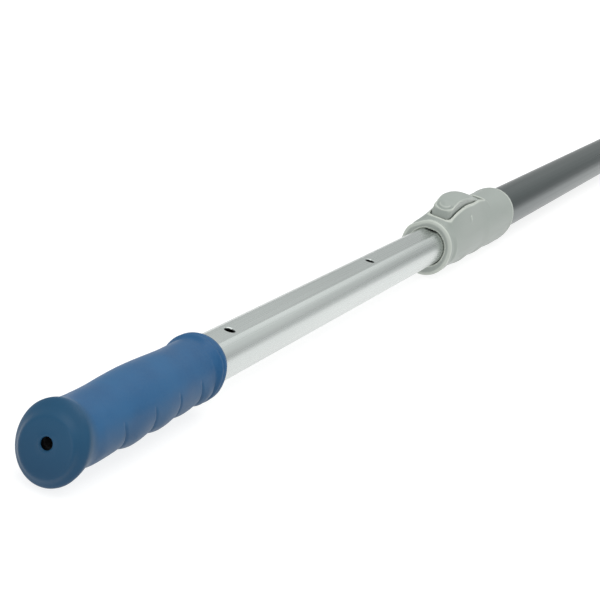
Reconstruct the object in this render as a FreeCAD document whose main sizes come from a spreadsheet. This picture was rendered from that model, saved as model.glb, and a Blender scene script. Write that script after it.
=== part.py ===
import FreeCAD, Part
import math
import os

import Sketcher

# Telescoping boat hook with two tubes, a rocker lock and a hook head.
# Frame: +X runs along the pole from the butt of the grip to the hook head, +Z is the side with
# the lock lever and the inner tube's flat, and the origin is the middle of the hole in the butt.
# Lengths are millimetres and angles are degrees.

SIZES = {
    # inner tube: 1 inch, with one flat and a row of lock holes
    "inner_radius": 12.7,
    "inner_wall": 1.2,
    "inner_start": 4.0,
    "inner_length": 1102.0,
    "flat_height": 11.67,
    "lock_hole_first": 151.0,
    "lock_hole_pitch": 187.0,
    "lock_hole_radius": 2.75,
    # outer tube: 1 1/4 inch
    "outer_radius": 15.875,
    "outer_wall": 1.3,
    "outer_start": 559.0,
    "outer_length": 1000.0,
    # grip
    "grip_end": 125.0,
    "grip_bore_gap": 0.02,
    "butt_face": -2.0,
    "butt_wall": 4.0,
    "butt_slant": 4.0,
    "butt_hole_radius": 2.7,
    "pommel_radius": 17.6,
    "waist_radius": 15.0,
    "palm_radius": 16.4,
    "flange_radius": 16.9,
    "finger_first": 31.2,
    "finger_pitch": 22.2,
    "finger_radius": 10.0,
    "finger_depth": 0.9,
    # plugs and guide at the ends of the inner tube
    "plug_gap": 0.05,
    "plug_length": 20.0,
    "guide_shank": 24.0,
    "guide_length": 16.0,
    "guide_radius": 14.42,
    "ring_width": 6.0,
    "ring_depth": 1.4,
    "inner_float_start": 1036.0,
    "inner_float_length": 42.0,
    # lock collar
    "collar_start": 451.0,
    "collar_end": 604.0,
    "mouth_radius": 13.2,
    "mouth_flat": 12.3,
    "ring_radius": 18.6,
    "collar_radius": 19.2,
    "sleeve_radius": 19.8,
    "sleeve_start": 530.0,
    "socket_start": 556.0,
    "socket_gap": 0.05,
    "hump_width": 21.0,
    "hump_front": 456.0,
    "hump_shoulder": 22.0,
    "hump_height": 28.0,
    "hump_peak": 488.0,
    "well_floor": 13.6,
    "well_gap": 0.6,
    # lever, its pivot and the lock pin
    "lever_front": 461.0,
    "lever_tip": 554.5,
    "lever_width": 14.4,
    "lever_tip_width": 8.0,
    "lever_top": 33.0,
    "lever_crest": 491.0,
    "lever_skirt": 19.6,
    "lever_nose": 25.8,
    "nub_place": 468.5,
    "nub_length": 9.0,
    "nub_width": 7.0,
    "nub_top": 29.4,
    "pivot_place": 497.0,
    "pivot_height": 18.0,
    "pivot_radius": 1.5,
    "pivot_length": 25.0,
    "pivot_gap": 0.05,
    "hub_radius": 3.4,
    "pin_place": 525.0,
    "pin_radius": 2.2,
    "pin_tip": 12.0,
    "pin_length": 10.0,
    "pin_hole_radius": 3.2,
    "spring_place": 471.0,
    "spring_radius": 2.6,
    "spring_wire": 0.4,
    "spring_height": 9.6,
    "spring_pitch": 1.9,
    # reducer bush between the two tubes
    "reducer_flange": 3.0,
    "reducer_length": 30.0,
    "reducer_gap": 0.15,
    # hook head
    "head_spigot": 50.0,
    "head_gap": 0.05,
    "head_core_radius": 11.0,
    "head_core_depth": 58.0,
    "shoulder_length": 12.0,
    "shoulder_radius": 17.5,
    "neck_radius": 10.5,
    "neck_length": 70.0,
    "prong_radius": 9.0,
    "prong_end": 1702.0,
    "arm_place": 1618.0,
    "arm_side": 16.0,
    "arm_outer": 43.0,
    "arm_inner": 29.0,
    "arm_thickness": 13.0,
    "arm_tip_angle": 122.0,
    "seal_place": 1518.0,
    "seal_radius": 13.7,
    "seal_wire": 1.0,
    "outer_float_start": 1458.0,
    "outer_float_length": 46.0,
    # fasteners
    "screw_radius": 1.8,
    "screw_head_radius": 3.4,
    "screw_head_height": 1.8,
    "collar_screw_first": 566.0,
    "collar_screw_pitch": 15.0,
    "collar_screw_length": 4.8,
    "head_screw_place": 1534.0,
    "head_screw_length": 10.0,
    "rivet_radius": 1.6,
    "rivet_head_radius": 3.0,
    "rivet_head_height": 0.7,
    "rivet_place": 1093.0,
    "rivet_length": 6.0,
}

LOCK_HOLES = 5
FINGER_GROOVES = 4
GUIDE_GROOVES = 2
ARM_ROOT_DEPTH = 4.0
FAR = 60.0


class Size:
    """A length that carries its number and the sheet formula that gives it."""

    def __init__(self, text, value):
        self.text = text
        self.value = value

    def combine(self, other, sign, value):
        text = other.text if isinstance(other, Size) else repr(other)
        return Size(f"({self.text} {sign} {text})", value)

    def __add__(self, other):
        return self.combine(other, "+", self.value + number(other))

    def __sub__(self, other):
        return self.combine(other, "-", self.value - number(other))

    def __mul__(self, other):
        return self.combine(other, "*", self.value * number(other))

    def __neg__(self):
        return Size(f"(0 - {self.text})", -self.value)


def number(length):
    return length.value if isinstance(length, Size) else float(length)


def formula(length):
    return length.text if isinstance(length, Size) else repr(float(length))


def size(alias):
    return Size(f"Sizes.{alias}", SIZES[alias])


doc = FreeCAD.newDocument("BoatHook")
sheet = doc.addObject("Spreadsheet::Sheet", "Sizes")
for row, (alias, value) in enumerate(SIZES.items(), start=1):
    sheet.set(f"A{row}", alias)
    sheet.set(f"B{row}", str(value))
    sheet.setAlias(f"B{row}", alias)
doc.recompute()


# ---------------------------------------------------------------- sketch and feature helpers


def bind(item, path, length):
    item.setExpression(path, formula(length))


def plane_sketch(body, name, role, offset=None):
    sketch = body.newObject("Sketcher::SketchObject", name)
    plane = [item for item in body.Origin.OriginFeatures if item.Role == role][0]
    sketch.AttachmentSupport = [(plane, "")]
    sketch.MapMode = "FlatFace"
    if offset is not None:
        bind(sketch, "AttachmentOffset.Base.z", offset)
    doc.recompute()
    return sketch


def fix_point(sketch, geometry, end, point):
    """Dimensions one end of a curve from the sketch's origin."""
    for kind, length in (("DistanceX", point[0]), ("DistanceY", point[1])):
        index = sketch.addConstraint(Sketcher.Constraint(kind, -1, 1, geometry, end, number(length)))
        bind(sketch, f"Constraints[{index}]", length)


def arc_between(start, end, radius):
    """An arc from start to end; a positive radius bulges to the left of the way from start to end."""
    x1, y1 = number(start[0]), number(start[1])
    x2, y2 = number(end[0]), number(end[1])
    half = math.hypot(x2 - x1, y2 - y1) / 2
    reach = math.sqrt(radius * radius - half * half)
    side = -1 if radius > 0 else 1
    cx = (x1 + x2) / 2 + side * reach * (y1 - y2) / (2 * half)
    cy = (y1 + y2) / 2 + side * reach * (x2 - x1) / (2 * half)
    first = math.atan2(y1 - cy, x1 - cx)
    last = math.atan2(y2 - cy, x2 - cx)
    whole = Part.Circle(FreeCAD.Vector(cx, cy, 0), FreeCAD.Vector(0, 0, 1), abs(radius))
    if radius > 0:
        return Part.ArcOfCircle(whole, last, first), 2, 1
    return Part.ArcOfCircle(whole, first, last), 1, 2


def outline(sketch, points, arcs=None):
    """A closed outline through points; arcs maps a point's number to the radius of the arc after it."""
    arcs = arcs or {}
    count = len(points)
    ends = []
    for index, start in enumerate(points):
        end = points[(index + 1) % count]
        if index in arcs:
            curve, head, tail = arc_between(start, end, arcs[index])
        else:
            first = FreeCAD.Vector(number(start[0]), number(start[1]), 0)
            last = FreeCAD.Vector(number(end[0]), number(end[1]), 0)
            curve, head, tail = Part.LineSegment(first, last), 1, 2
        geometry = sketch.addGeometry(curve, False)
        if index in arcs:
            sketch.addConstraint(Sketcher.Constraint("Radius", geometry, abs(arcs[index])))
        ends.append((geometry, head, tail))
    for index, (geometry, head, tail) in enumerate(ends):
        before = ends[index - 1]
        sketch.addConstraint(Sketcher.Constraint("Coincident", before[0], before[2], geometry, head))
        fix_point(sketch, geometry, head, points[index])
    doc.recompute()


def circle(sketch, centre, radius):
    start = FreeCAD.Vector(number(centre[0]), number(centre[1]), 0)
    geometry = sketch.addGeometry(Part.Circle(start, FreeCAD.Vector(0, 0, 1), number(radius)), False)
    index = sketch.addConstraint(Sketcher.Constraint("Radius", geometry, number(radius)))
    bind(sketch, f"Constraints[{index}]", radius)
    fix_point(sketch, geometry, 3, centre)
    doc.recompute()
    return geometry


def flatted_circle(sketch, radius, flat):
    """A circle about the sketch's origin with its top cut off straight at the height flat."""
    half = math.sqrt(number(radius) ** 2 - number(flat) ** 2)
    first = math.atan2(number(flat), -half)
    last = math.atan2(number(flat), half)
    round_part = Part.Circle(FreeCAD.Vector(0, 0, 0), FreeCAD.Vector(0, 0, 1), number(radius))
    arc = sketch.addGeometry(Part.ArcOfCircle(round_part, first, last), False)
    left = FreeCAD.Vector(-half, number(flat), 0)
    right = FreeCAD.Vector(half, number(flat), 0)
    line = sketch.addGeometry(Part.LineSegment(right, left), False)
    sketch.addConstraint(Sketcher.Constraint("Coincident", arc, 3, -1, 1))
    sketch.addConstraint(Sketcher.Constraint("Coincident", arc, 2, line, 1))
    sketch.addConstraint(Sketcher.Constraint("Coincident", line, 2, arc, 1))
    sketch.addConstraint(Sketcher.Constraint("Horizontal", line))
    index = sketch.addConstraint(Sketcher.Constraint("Radius", arc, number(radius)))
    bind(sketch, f"Constraints[{index}]", radius)
    index = sketch.addConstraint(Sketcher.Constraint("DistanceY", -1, 1, line, 1, number(flat)))
    bind(sketch, f"Constraints[{index}]", flat)
    doc.recompute()


def new_body(label):
    body = doc.addObject("PartDesign::Body", label)
    body.Label = label
    return body


def pad(body, sketch, length, symmetric=False, backwards=False):
    feature = body.newObject("PartDesign::Pad", sketch.Name + "_pad")
    feature.Profile = sketch
    bind(feature, "Length", length)
    feature.SideType = "Symmetric" if symmetric else "One side"
    feature.Reversed = backwards
    doc.recompute()
    return feature


def revolve(body, sketch):
    feature = body.newObject("PartDesign::Revolution", sketch.Name + "_turn")
    feature.Profile = sketch
    feature.ReferenceAxis = (sketch, ["H_Axis"])
    feature.Angle = 360
    doc.recompute()
    return feature


def pocket(body, sketch, length, symmetric=False, backwards=False):
    """Cuts the sketch into the body, and stops if nothing was cut."""
    before = body.Shape.Volume
    feature = body.newObject("PartDesign::Pocket", sketch.Name + "_cut")
    feature.Profile = sketch
    bind(feature, "Length", length)
    feature.SideType = "Symmetric" if symmetric else "One side"
    feature.Reversed = backwards
    doc.recompute()
    if body.Shape.Volume > before - 0.01:
        raise RuntimeError(f"{feature.Name} cut nothing")
    return feature


def repeat(body, feature, axis_role, pitch, count):
    """Repeats a cut along an origin axis."""
    before = body.Shape.Volume
    axis = [item for item in body.Origin.OriginFeatures if item.Role == axis_role][0]
    pattern = body.newObject("PartDesign::LinearPattern", feature.Name + "_row")
    pattern.Originals = [feature]
    pattern.Direction = (axis, [""])
    pattern.Mode = "Spacing"
    bind(pattern, "Offset", pitch)
    pattern.Occurrences = count
    body.Tip = pattern
    doc.recompute()
    if body.Shape.Volume > before - 0.01:
        raise RuntimeError(f"{pattern.Name} cut nothing")
    return pattern


def rod(body, name, start, length, radius, flat=None):
    """A round bar along X, with a flat on top where one is given."""
    sketch = plane_sketch(body, name, "YZ_Plane", start)
    if flat is None:
        circle(sketch, (0, 0), radius)
    else:
        flatted_circle(sketch, radius, flat)
    return pad(body, sketch, length)


def bore(body, name, start, length, radius, flat=None):
    """A round hole along X, with a flat on top where one is given."""
    sketch = plane_sketch(body, name, "YZ_Plane", start)
    if flat is None:
        circle(sketch, (0, 0), radius)
    else:
        flatted_circle(sketch, radius, flat)
    return pocket(body, sketch, length, backwards=True)


# ---------------------------------------------------------------- inner pole: tube, grip, plugs

inner_flat_inside = size("flat_height") - size("inner_wall")
inner_bore = size("inner_radius") - size("inner_wall")
inner_end = size("inner_start") + size("inner_length")
plug_radius = inner_bore - size("plug_gap")
plug_flat = inner_flat_inside - size("plug_gap")


def make_inner_tube():
    body = new_body("inner_tube")
    rod(body, "inner_wall_out", size("inner_start"), size("inner_length"),
        size("inner_radius"), size("flat_height"))
    bore(body, "inner_wall_in", size("inner_start"), size("inner_length"), inner_bore, inner_flat_inside)
    holes = plane_sketch(body, "lock_hole", "XY_Plane")
    circle(holes, (size("lock_hole_first"), 0), size("lock_hole_radius"))
    first = pocket(body, holes, size("inner_radius"), backwards=True)
    repeat(body, first, "X_Axis", size("lock_hole_pitch"), LOCK_HOLES)
    rivets = plane_sketch(body, "inner_rivet_hole", "XZ_Plane")
    circle(rivets, (size("rivet_place"), 0), size("rivet_radius"))
    pocket(body, rivets, size("inner_radius") * 2, symmetric=True)
    return body


def make_grip():
    """The moulded hand grip: a slanted pommel, two waists, a palm swell and a flared mouth."""
    body = new_body("grip")
    profile = plane_sketch(body, "grip_profile", "XZ_Plane")
    back = size("butt_face") - size("butt_slant")
    points = [
        (back, 0),
        (back, size("waist_radius") - 2.0),
        (size("butt_face") + 5.0, size("pommel_radius")),
        (26.0, size("waist_radius")),
        (65.0, size("palm_radius")),
        (106.0, size("waist_radius") + 0.2),
        (size("grip_end") - 8.0, size("flange_radius")),
        (size("grip_end") - 1.5, size("flange_radius")),
        (size("grip_end"), size("flange_radius") - 1.5),
        (size("grip_end"), 0),
    ]
    outline(profile, points, {1: 8.0, 2: -60.0, 3: 700.0, 4: 700.0, 5: -30.0, 7: 1.5})
    revolve(body, profile)
    slant = plane_sketch(body, "butt_slant_cut", "XZ_Plane")
    reach = size("pommel_radius") + 2.0
    outline(slant, [
        (back - 10.0, -reach),
        (size("butt_face") - size("butt_slant"), -reach),
        (size("butt_face") + size("butt_slant"), reach),
        (back - 10.0, reach),
    ])
    pocket(body, slant, FAR, symmetric=True)
    bore(body, "grip_bore", size("butt_face") + size("butt_wall"), size("grip_end"),
         size("inner_radius") + size("grip_bore_gap"))
    bore(body, "butt_hole", back, size("butt_slant") + size("butt_wall"), size("butt_hole_radius"))
    finger = plane_sketch(body, "finger_groove", "XZ_Plane")
    depth = size("waist_radius") + size("finger_radius") - size("finger_depth") + 0.4
    circle(finger, (size("finger_first"), -depth), size("finger_radius"))
    groove = pocket(body, finger, FAR, symmetric=True)
    repeat(body, groove, "X_Axis", size("finger_pitch"), FINGER_GROOVES)
    return body


def make_butt_plug():
    """The plug in the butt end of the inner tube; its blind hole carries on from the grip's hole."""
    body = new_body("butt_plug")
    face = size("butt_face") + size("butt_wall")
    length = size("inner_start") - face + size("plug_length")
    rod(body, "butt_plug_shank", face, length, plug_radius, plug_flat)
    bore(body, "butt_plug_hole", face, size("plug_length") * 0.7, size("butt_hole_radius") + 0.6)
    return body


def make_guide_plug():
    """The plug in the far end of the inner tube, whose head carries the guide ring."""
    body = new_body("guide_plug")
    rod(body, "guide_shank", inner_end - size("guide_shank"), size("guide_shank"), plug_radius, plug_flat)
    rod(body, "guide_head", inner_end, size("guide_length"), size("guide_radius") - size("ring_depth"))
    rod(body, "guide_lip", inner_end, size("guide_length") - size("ring_width") - 5.0,
        size("guide_radius") - 0.4)
    rod(body, "guide_end_lip", inner_end + size("guide_length") - 4.0, 4.0, size("guide_radius") - 0.4)
    rivets = plane_sketch(body, "guide_rivet_hole", "XZ_Plane")
    circle(rivets, (size("rivet_place"), 0), size("rivet_radius"))
    pocket(body, rivets, size("inner_radius") * 2, symmetric=True)
    return body


def make_guide_ring():
    """The split nylon ring that runs on the outer tube's wall."""
    body = new_body("guide_ring")
    start = inner_end + size("guide_length") - size("ring_width") - 4.5
    rod(body, "guide_ring_out", start, size("ring_width"), size("guide_radius"))
    bore(body, "guide_ring_in", start, size("ring_width"), size("guide_radius") - size("ring_depth") + 0.05)
    split = plane_sketch(body, "guide_ring_split", "XY_Plane")
    outline(split, [
        (start - 1.0, -1.0),
        (start + size("ring_width") + 1.0, -1.0),
        (start + size("ring_width") + 1.0, 1.0),
        (start - 1.0, 1.0),
    ])
    pocket(body, split, FAR)
    return body


def make_float(label, start, length, radius, flat=None):
    """A foam plug that seals a tube and keeps the pole afloat."""
    body = new_body(label)
    rod(body, label + "_foam", start, length, radius, flat)
    return body


# ---------------------------------------------------------------- outer pole: tube, bush, collar

outer_bore = size("outer_radius") - size("outer_wall")
outer_end = size("outer_start") + size("outer_length")
reducer_bore = size("inner_radius") + size("reducer_gap")
reducer_flat = size("flat_height") + size("reducer_gap")


def screw_places():
    """The X places of the two screws under the collar's sleeve."""
    return [size("collar_screw_first"), size("collar_screw_first") + size("collar_screw_pitch")]


def make_outer_tube():
    body = new_body("outer_tube")
    rod(body, "outer_wall_out", size("outer_start"), size("outer_length"), size("outer_radius"))
    bore(body, "outer_wall_in", size("outer_start"), size("outer_length"), outer_bore)
    for index, place in enumerate(screw_places()):
        hole = plane_sketch(body, f"outer_screw_hole_{index}", "XY_Plane")
        circle(hole, (place, 0), size("screw_radius"))
        pocket(body, hole, size("outer_radius") + 1.0)
    head = plane_sketch(body, "outer_head_hole", "XZ_Plane")
    circle(head, (size("head_screw_place"), 0), size("screw_radius"))
    pocket(body, head, size("outer_radius") * 2 + 2.0, symmetric=True)
    return body


def make_reducer_bush():
    """The flanged bush that fills the gap between the tubes and keys on the inner tube's flat."""
    body = new_body("reducer_bush")
    flange = size("outer_start") - size("reducer_flange")
    rod(body, "reducer_flange_disc", flange, size("reducer_flange"), size("outer_radius") - 0.1)
    rod(body, "reducer_shank", size("outer_start"), size("reducer_length"), outer_bore - size("plug_gap"))
    bore(body, "reducer_bore", flange, size("reducer_length") + size("reducer_flange"),
         reducer_bore, reducer_flat)
    for index, place in enumerate(screw_places()):
        hole = plane_sketch(body, f"reducer_screw_hole_{index}", "XY_Plane")
        circle(hole, (place, 0), size("screw_radius"))
        pocket(body, hole, size("outer_radius") + 1.0)
    return body


def lever_plan(body, name, gap=0.0):
    """The lever's outline from above, grown by gap on every side."""
    sketch = plane_sketch(body, name, "XY_Plane")
    front = size("lever_front") - gap
    tip = size("lever_tip") + gap
    wide = size("lever_width") * 0.5 + gap
    narrow = size("lever_tip_width") * 0.5 + gap
    shoulder = size("pivot_place") + 8.0
    outline(sketch, [
        (front, -wide + 2.0),
        (front + 2.0, -wide),
        (shoulder, -wide),
        (tip - 3.0, -narrow),
        (tip, 0),
        (tip - 3.0, narrow),
        (shoulder, wide),
        (front + 2.0, wide),
        (front, wide - 2.0),
    ])
    return sketch


def make_lock_collar():
    """The lock's housing: front ring, hump with the lever's well, and the sleeve on the outer tube."""
    body = new_body("lock_collar")
    barrel = plane_sketch(body, "collar_profile", "XZ_Plane")
    start = size("collar_start")
    seam = size("sleeve_start")
    end = size("collar_end")
    outline(barrel, [
        (start, 0),
        (start, size("ring_radius") - 1.2),
        (start + 1.2, size("ring_radius")),
        (start + 7.0, size("ring_radius")),
        (start + 9.0, size("collar_radius")),
        (seam, size("collar_radius")),
        (seam + 2.0, size("sleeve_radius")),
        (end - 1.0, size("sleeve_radius")),
        (end, size("sleeve_radius") - 1.0),
        (end, 0),
    ])
    revolve(body, barrel)
    hump = plane_sketch(body, "collar_hump", "XZ_Plane")
    outline(hump, [
        (size("hump_front"), 0),
        (size("hump_front"), size("collar_radius") - 0.8),
        (size("hump_front") + 6.0, size("hump_shoulder")),
        (size("hump_peak"), size("hump_height")),
        (size("lever_tip") - 30.0, size("hump_shoulder") + 2.0),
        (size("lever_tip") + 3.0, size("sleeve_radius") - 0.4),
        (size("lever_tip") + 3.0, 0),
    ], {2: 60.0, 3: 120.0})
    pad(body, hump, size("hump_width"), symmetric=True)
    bore(body, "collar_bore", start, size("socket_start") - start, size("mouth_radius"), size("mouth_flat"))
    bore(body, "collar_socket", size("socket_start"), end - size("socket_start"),
         size("outer_radius") + size("socket_gap"))
    well = lever_plan(body, "lever_well", size("well_gap"))
    bind(well, "AttachmentOffset.Base.z", size("well_floor"))
    pocket(body, well, FAR, backwards=True)
    hole = plane_sketch(body, "collar_pin_hole", "XY_Plane")
    circle(hole, (size("pin_place"), 0), size("pin_hole_radius"))
    pocket(body, hole, FAR, backwards=True)
    pivot = plane_sketch(body, "collar_pivot_hole", "XZ_Plane")
    circle(pivot, (size("pivot_place"), size("pivot_height")), size("pivot_radius"))
    pocket(body, pivot, size("pivot_length"), symmetric=True)
    for index, place in enumerate(screw_places()):
        screw = plane_sketch(body, f"collar_screw_hole_{index}", "XY_Plane")
        circle(screw, (place, 0), size("screw_radius"))
        pocket(body, screw, FAR)
        seat = plane_sketch(body, f"collar_screw_seat_{index}", "XY_Plane",
                            -(size("sleeve_radius") - size("screw_head_height")))
        circle(seat, (place, 0), size("screw_head_radius") + 0.1)
        pocket(body, seat, FAR)
    return body


def make_lever_pivot():
    body = new_body("lever_pivot")
    sketch = plane_sketch(body, "pivot_circle", "XZ_Plane")
    circle(sketch, (size("pivot_place"), size("pivot_height")), size("pivot_radius"))
    pad(body, sketch, size("pivot_length"), symmetric=True)
    return body


# ---------------------------------------------------------------- lever, lock pin and spring


def make_lock_lever():
    """The rocker: a domed back over a pivot hub, with a thumb nub on its front slope."""
    body = new_body("lock_lever")
    side = plane_sketch(body, "lever_side", "XZ_Plane")
    outline(side, [
        (size("lever_front"), size("lever_skirt")),
        (size("lever_front") + 0.8, size("lever_nose") - 2.2),
        (size("lever_front") + 3.2, size("lever_nose")),
        (size("lever_crest"), size("lever_top")),
        (size("lever_tip") - 30.0, size("lever_top") - 6.0),
        (size("lever_tip"), size("lever_skirt") + 0.2),
        (size("lever_tip"), size("lever_skirt") - 1.6),
        (size("pivot_place") + 10.0, size("lever_skirt") - 1.2),
        (size("pivot_place"), size("lever_skirt") - 1.2),
    ], {2: 70.0, 3: 60.0})
    pad(body, side, size("lever_width"), symmetric=True)
    hub = plane_sketch(body, "lever_hub", "XZ_Plane")
    circle(hub, (size("pivot_place"), size("pivot_height")), size("hub_radius"))
    pad(body, hub, size("lever_width"), symmetric=True)
    nub = plane_sketch(body, "lever_nub", "XY_Plane", size("lever_skirt"))
    half_length = size("nub_length") * 0.5
    half_width = size("nub_width") * 0.5
    outline(nub, [
        (size("nub_place") - half_length + 2.0, -half_width),
        (size("nub_place") + half_length - 2.0, -half_width),
        (size("nub_place") + half_length - 2.0, half_width),
        (size("nub_place") - half_length + 2.0, half_width),
    ], {1: -3.7, 3: -3.7})
    pad(body, nub, size("nub_top") - size("lever_skirt"))
    trim = lever_plan(body, "lever_trim")
    outline(trim, [
        (size("lever_front") - 9.0, -size("lever_width")),
        (size("lever_tip") + 9.0, -size("lever_width")),
        (size("lever_tip") + 9.0, size("lever_width")),
        (size("lever_front") - 9.0, size("lever_width")),
    ])
    pocket(body, trim, FAR, backwards=True)
    pivot = plane_sketch(body, "lever_pivot_hole", "XZ_Plane")
    circle(pivot, (size("pivot_place"), size("pivot_height")), size("pivot_radius") + size("pivot_gap"))
    pocket(body, pivot, FAR, symmetric=True)
    pin = plane_sketch(body, "lever_pin_hole", "XY_Plane")
    circle(pin, (size("pin_place"), 0), size("pin_radius"))
    pocket(body, pin, size("pin_tip") + size("pin_length"), backwards=True)
    spring = plane_sketch(body, "lever_spring_hole", "XY_Plane")
    circle(spring, (size("spring_place"), 0), size("spring_radius") + 0.9)
    pocket(body, spring, size("well_floor") + size("spring_height") + 0.4, backwards=True)
    return body


def make_lock_pin():
    """The steel pin pressed into the lever's rear arm, with a rounded-off tip."""
    pin = doc.addObject("Part::Cylinder", "lock_pin_shank")
    bind(pin, "Radius", size("pin_radius"))
    bind(pin, "Height", size("pin_length") - 0.6)
    bind(pin, "Placement.Base.x", size("pin_place"))
    bind(pin, "Placement.Base.z", size("pin_tip") + 0.6)
    tip = doc.addObject("Part::Cone", "lock_pin_tip")
    bind(tip, "Radius1", size("pin_radius") - 0.6)
    bind(tip, "Radius2", size("pin_radius"))
    tip.Height = 0.6
    bind(tip, "Placement.Base.x", size("pin_place"))
    bind(tip, "Placement.Base.z", size("pin_tip"))
    whole = doc.addObject("Part::Fuse", "lock_pin")
    whole.Base = pin
    whole.Tool = tip
    whole.Label = "lock_pin"
    return whole


def make_lever_spring():
    """The coil spring that holds the thumb end of the lever up."""
    body = new_body("lever_spring")
    wire = plane_sketch(body, "spring_wire_section", "XZ_Plane")
    circle(wire, (size("spring_radius"), size("spring_wire")), size("spring_wire"))
    coil = body.newObject("PartDesign::AdditiveHelix", "spring_coil")
    coil.Profile = wire
    coil.ReferenceAxis = (wire, ["V_Axis"])
    coil.Mode = "pitch-height-angle"
    bind(coil, "Pitch", size("spring_pitch"))
    bind(coil, "Height", size("spring_height") - size("spring_wire") * 2)
    bind(body, "Placement.Base.x", size("spring_place"))
    bind(body, "Placement.Base.z", size("well_floor"))
    doc.recompute()
    return body


# ---------------------------------------------------------------- hook head

def hook_arm(body, name, turn):
    """Adds one swept-back arm; turn is 1 for the +Y side and -1 for the -Y side."""
    arm = plane_sketch(body, name, "XY_Plane")
    outer = SIZES["arm_outer"]
    inner = SIZES["arm_inner"]
    tip = math.radians(SIZES["arm_tip_angle"])
    outer_root = -math.asin((SIZES["arm_side"] - ARM_ROOT_DEPTH) / outer)
    inner_root = -math.asin((SIZES["arm_side"] - ARM_ROOT_DEPTH) / inner)

    def around(radius, angle):
        along = size("arm_place") + size(radius) * math.cos(angle)
        across = size("arm_side") * turn + size(radius) * (turn * math.sin(angle))
        return along, across

    tip_round = (outer - inner) / 2 + 0.2
    outline(arm, [
        around("arm_outer", outer_root),
        around("arm_outer", tip),
        around("arm_inner", tip),
        around("arm_inner", inner_root),
    ], {0: -turn * outer, 1: -turn * tip_round, 2: turn * inner})
    pad(body, arm, size("arm_thickness"), symmetric=True)


def make_hook_head():
    """The head: a spigot in the tube, a shoulder, a blunt prong and two swept-back hook arms."""
    body = new_body("hook_head")
    stem = plane_sketch(body, "head_profile", "XZ_Plane")
    spigot_start = outer_end - size("head_spigot")
    shoulder_end = outer_end + size("shoulder_length")
    neck_end = shoulder_end + size("neck_length")
    outline(stem, [
        (spigot_start, 0),
        (spigot_start, outer_bore - 1.0),
        (spigot_start + 1.0, outer_bore - size("head_gap")),
        (outer_end, outer_bore - size("head_gap")),
        (outer_end, size("shoulder_radius") - 0.6),
        (outer_end + 0.6, size("shoulder_radius")),
        (shoulder_end, size("shoulder_radius")),
        (shoulder_end + 12.0, size("neck_radius")),
        (neck_end, size("prong_radius")),
        (size("prong_end") - size("prong_radius"), size("prong_radius")),
        (size("prong_end"), 0),
    ], {9: 9.0})
    revolve(body, stem)
    for index, turn in enumerate((1.0, -1.0)):
        hook_arm(body, f"hook_arm_{index}", turn)
    bore(body, "head_core", spigot_start, size("head_core_depth"), size("head_core_radius"))
    seal = plane_sketch(body, "head_seal_groove", "XZ_Plane")
    half = size("seal_wire") + 0.2
    groove = size("seal_radius") - size("seal_wire")
    outline(seal, [
        (size("seal_place") - half, groove),
        (size("seal_place") + half, groove),
        (size("seal_place") + half, size("outer_radius")),
        (size("seal_place") - half, size("outer_radius")),
    ])
    cut = body.newObject("PartDesign::Groove", "head_seal_groove_turn")
    cut.Profile = seal
    cut.ReferenceAxis = (seal, ["H_Axis"])
    cut.Angle = 360
    doc.recompute()
    screws = plane_sketch(body, "head_screw_hole", "XZ_Plane")
    circle(screws, (size("head_screw_place"), 0), size("screw_radius"))
    pocket(body, screws, size("outer_radius") * 2, symmetric=True)
    return body


def make_head_seal():
    ring = doc.addObject("Part::Torus", "head_seal")
    bind(ring, "Radius1", size("seal_radius") - 0.1)
    bind(ring, "Radius2", size("seal_wire") - 0.1)
    ring.Placement.Rotation = FreeCAD.Rotation(FreeCAD.Vector(0, 1, 0), 90)
    bind(ring, "Placement.Base.x", size("seal_place"))
    ring.Label = "head_seal"
    return ring


# ---------------------------------------------------------------- fasteners

def make_fastener(name, shank_radius, head_radius, head_height, length, place, surface, turn_x):
    """A fastener whose head's underside lies at the radius surface, turned about X by turn_x."""
    shank = doc.addObject("Part::Cylinder", name + "_shank")
    bind(shank, "Radius", shank_radius)
    bind(shank, "Height", length)
    head = doc.addObject("Part::Cone", name + "_head")
    bind(head, "Radius1", head_radius)
    bind(head, "Radius2", head_radius * 0.7)
    bind(head, "Height", head_height)
    bind(head, "Placement.Base.z", length)
    whole = doc.addObject("Part::Fuse", name)
    whole.Base = shank
    whole.Tool = head
    whole.Placement.Rotation = FreeCAD.Rotation(FreeCAD.Vector(1, 0, 0), turn_x)
    bind(whole, "Placement.Base.x", place)
    angle = math.radians(turn_x)
    bind(whole, "Placement.Base.y", (length - surface) * math.sin(angle))
    bind(whole, "Placement.Base.z", (surface - length) * math.cos(angle))
    return whole


def group(label, members):
    """Several separate solids in one node."""
    whole = doc.addObject("Part::Compound", label)
    whole.Links = members
    whole.Label = label
    return whole


def make_collar_screws():
    seat = size("sleeve_radius") - size("screw_head_height")
    members = []
    for index, place in enumerate(screw_places()):
        members.append(make_fastener(f"collar_screw_{index}", size("screw_radius"),
                                     size("screw_head_radius"), size("screw_head_height") * 0.9,
                                     size("collar_screw_length"), place, seat, 180))
    return group("collar_screws", members)


def make_head_screws():
    members = []
    for index, turn in enumerate((-90, 90)):
        members.append(make_fastener(f"head_screw_{index}", size("screw_radius"),
                                     size("screw_head_radius"), size("screw_head_height"),
                                     size("head_screw_length"), size("head_screw_place"),
                                     size("outer_radius") + 0.02, turn))
    return group("head_screws", members)


def make_guide_rivets():
    members = []
    for index, turn in enumerate((-90, 90)):
        members.append(make_fastener(f"guide_rivet_{index}", size("rivet_radius"),
                                     size("rivet_head_radius"), size("rivet_head_height"),
                                     size("rivet_length"), size("rivet_place"),
                                     size("inner_radius") + 0.02, turn))
    return group("guide_rivets", members)


# ---------------------------------------------------------------- build, check and export

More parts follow.
